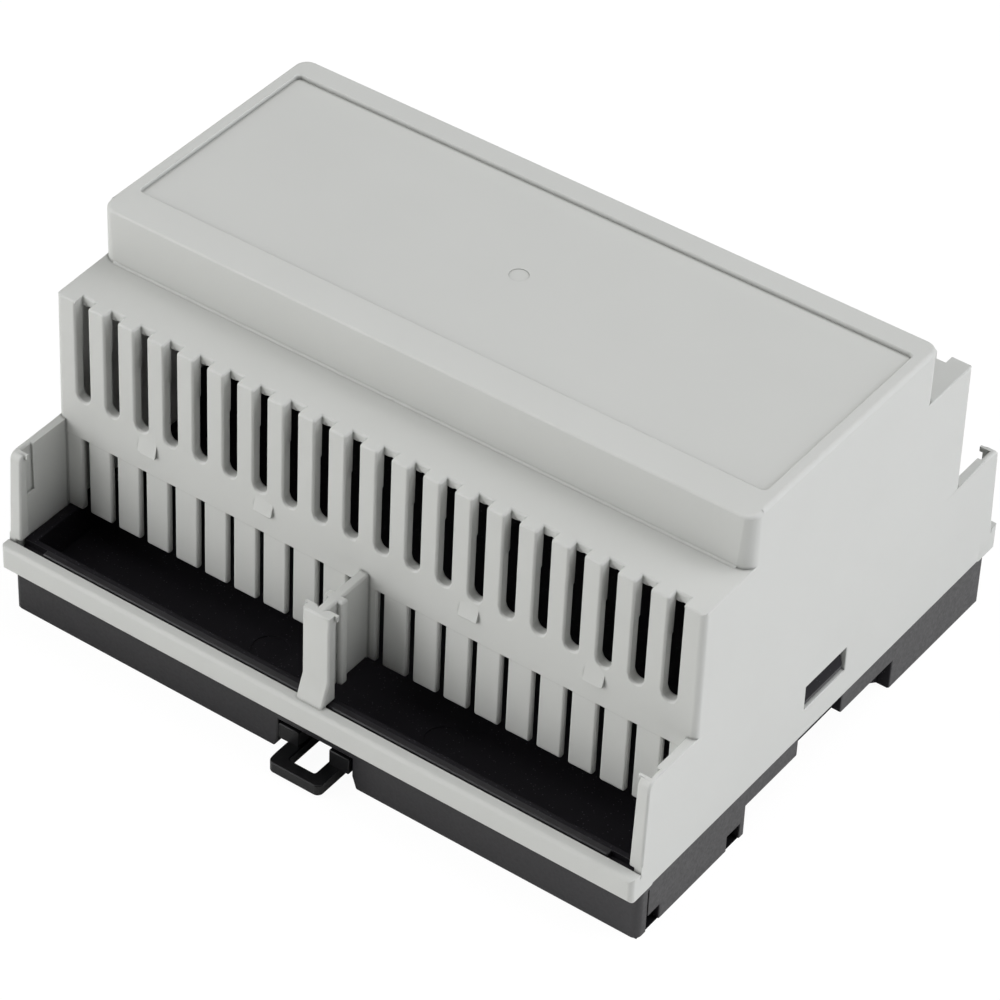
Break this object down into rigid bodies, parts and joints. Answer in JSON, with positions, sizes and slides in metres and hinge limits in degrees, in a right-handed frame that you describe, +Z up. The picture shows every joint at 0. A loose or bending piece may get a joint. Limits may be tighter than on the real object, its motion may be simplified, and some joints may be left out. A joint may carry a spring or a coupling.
{
  "type": "rail enclosure",
  "caption": "Stepped plastic enclosure for a top-hat rail: vented cover with open terminal wells, latched base and a sliding rail clip.",
  "frame": {"origin": "middle of the face that rests on the rail, under the floor at the centre of the case", "axes": "+X along the rail, +Y from the clip's loop to the fixed hooks, +Z up from the rail to the label recess"},
  "size_m": [0.106, 0.0923, 0.058],
  "materials": {
    "cover": "light-grey ABS, fine spark-eroded texture",
    "base": "black ABS, fine matt texture",
    "rail_clip": "black polyamide, smooth matt"
  },
  "bodies": {
    "case": {"cover": "cover", "base": "base"},
    "clip": {"rail_clip": "rail_clip"}
  },
  "joints": [
    {"name": "clip_slide", "type": "slide", "parent": "case", "child": "clip", "axis": [0, -1, 0], "range_m": [0, 0.004]}
  ]
}
